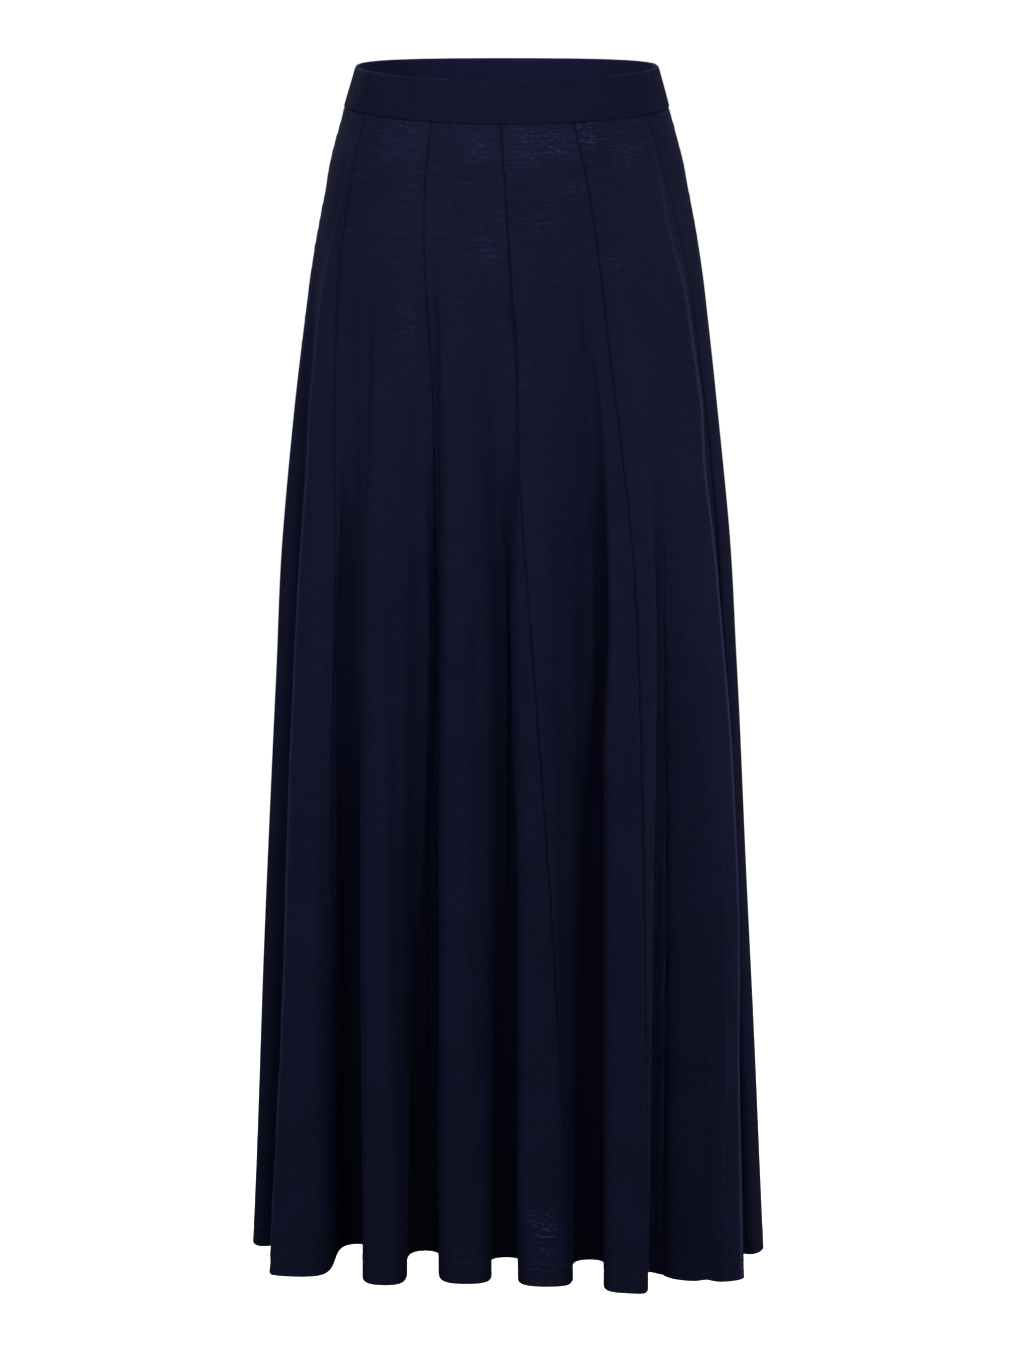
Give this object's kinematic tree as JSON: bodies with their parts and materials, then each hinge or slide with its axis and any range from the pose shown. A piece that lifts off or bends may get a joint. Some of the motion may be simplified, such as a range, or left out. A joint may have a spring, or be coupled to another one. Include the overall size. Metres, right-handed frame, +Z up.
{
  "type": "maxi skirt",
  "caption": "Long flared gored skirt of fine knit with a narrow folded waistband, in its hollow worn form with deep folds down to the hem.",
  "frame": {"origin": "middle of the waistband's top edge, where the waist holds the skirt", "axes": "+Z up, the front faces -Y, and +X is on the right of someone who looks at the front"},
  "size_m": [0.444, 0.3433, 1.0235],
  "materials": {
    "navy_knit": "matte fine jersey knit"
  },
  "bodies": {
    "root": {"waistband_front": "navy_knit", "waistband_back": "navy_knit", "gore_front_left_side": "navy_knit", "gore_front_left_middle": "navy_knit", "gore_front_left_centre": "navy_knit", "gore_front_right_centre": "navy_knit", "gore_front_right_middle": "navy_knit", "gore_front_right_side": "navy_knit", "gore_back_right_side": "navy_knit", "gore_back_right_middle": "navy_knit", "gore_back_right_centre": "navy_knit", "gore_back_left_centre": "navy_knit", "gore_back_left_middle": "navy_knit", "gore_back_left_side": "navy_knit"}
  },
  "joints": []
}
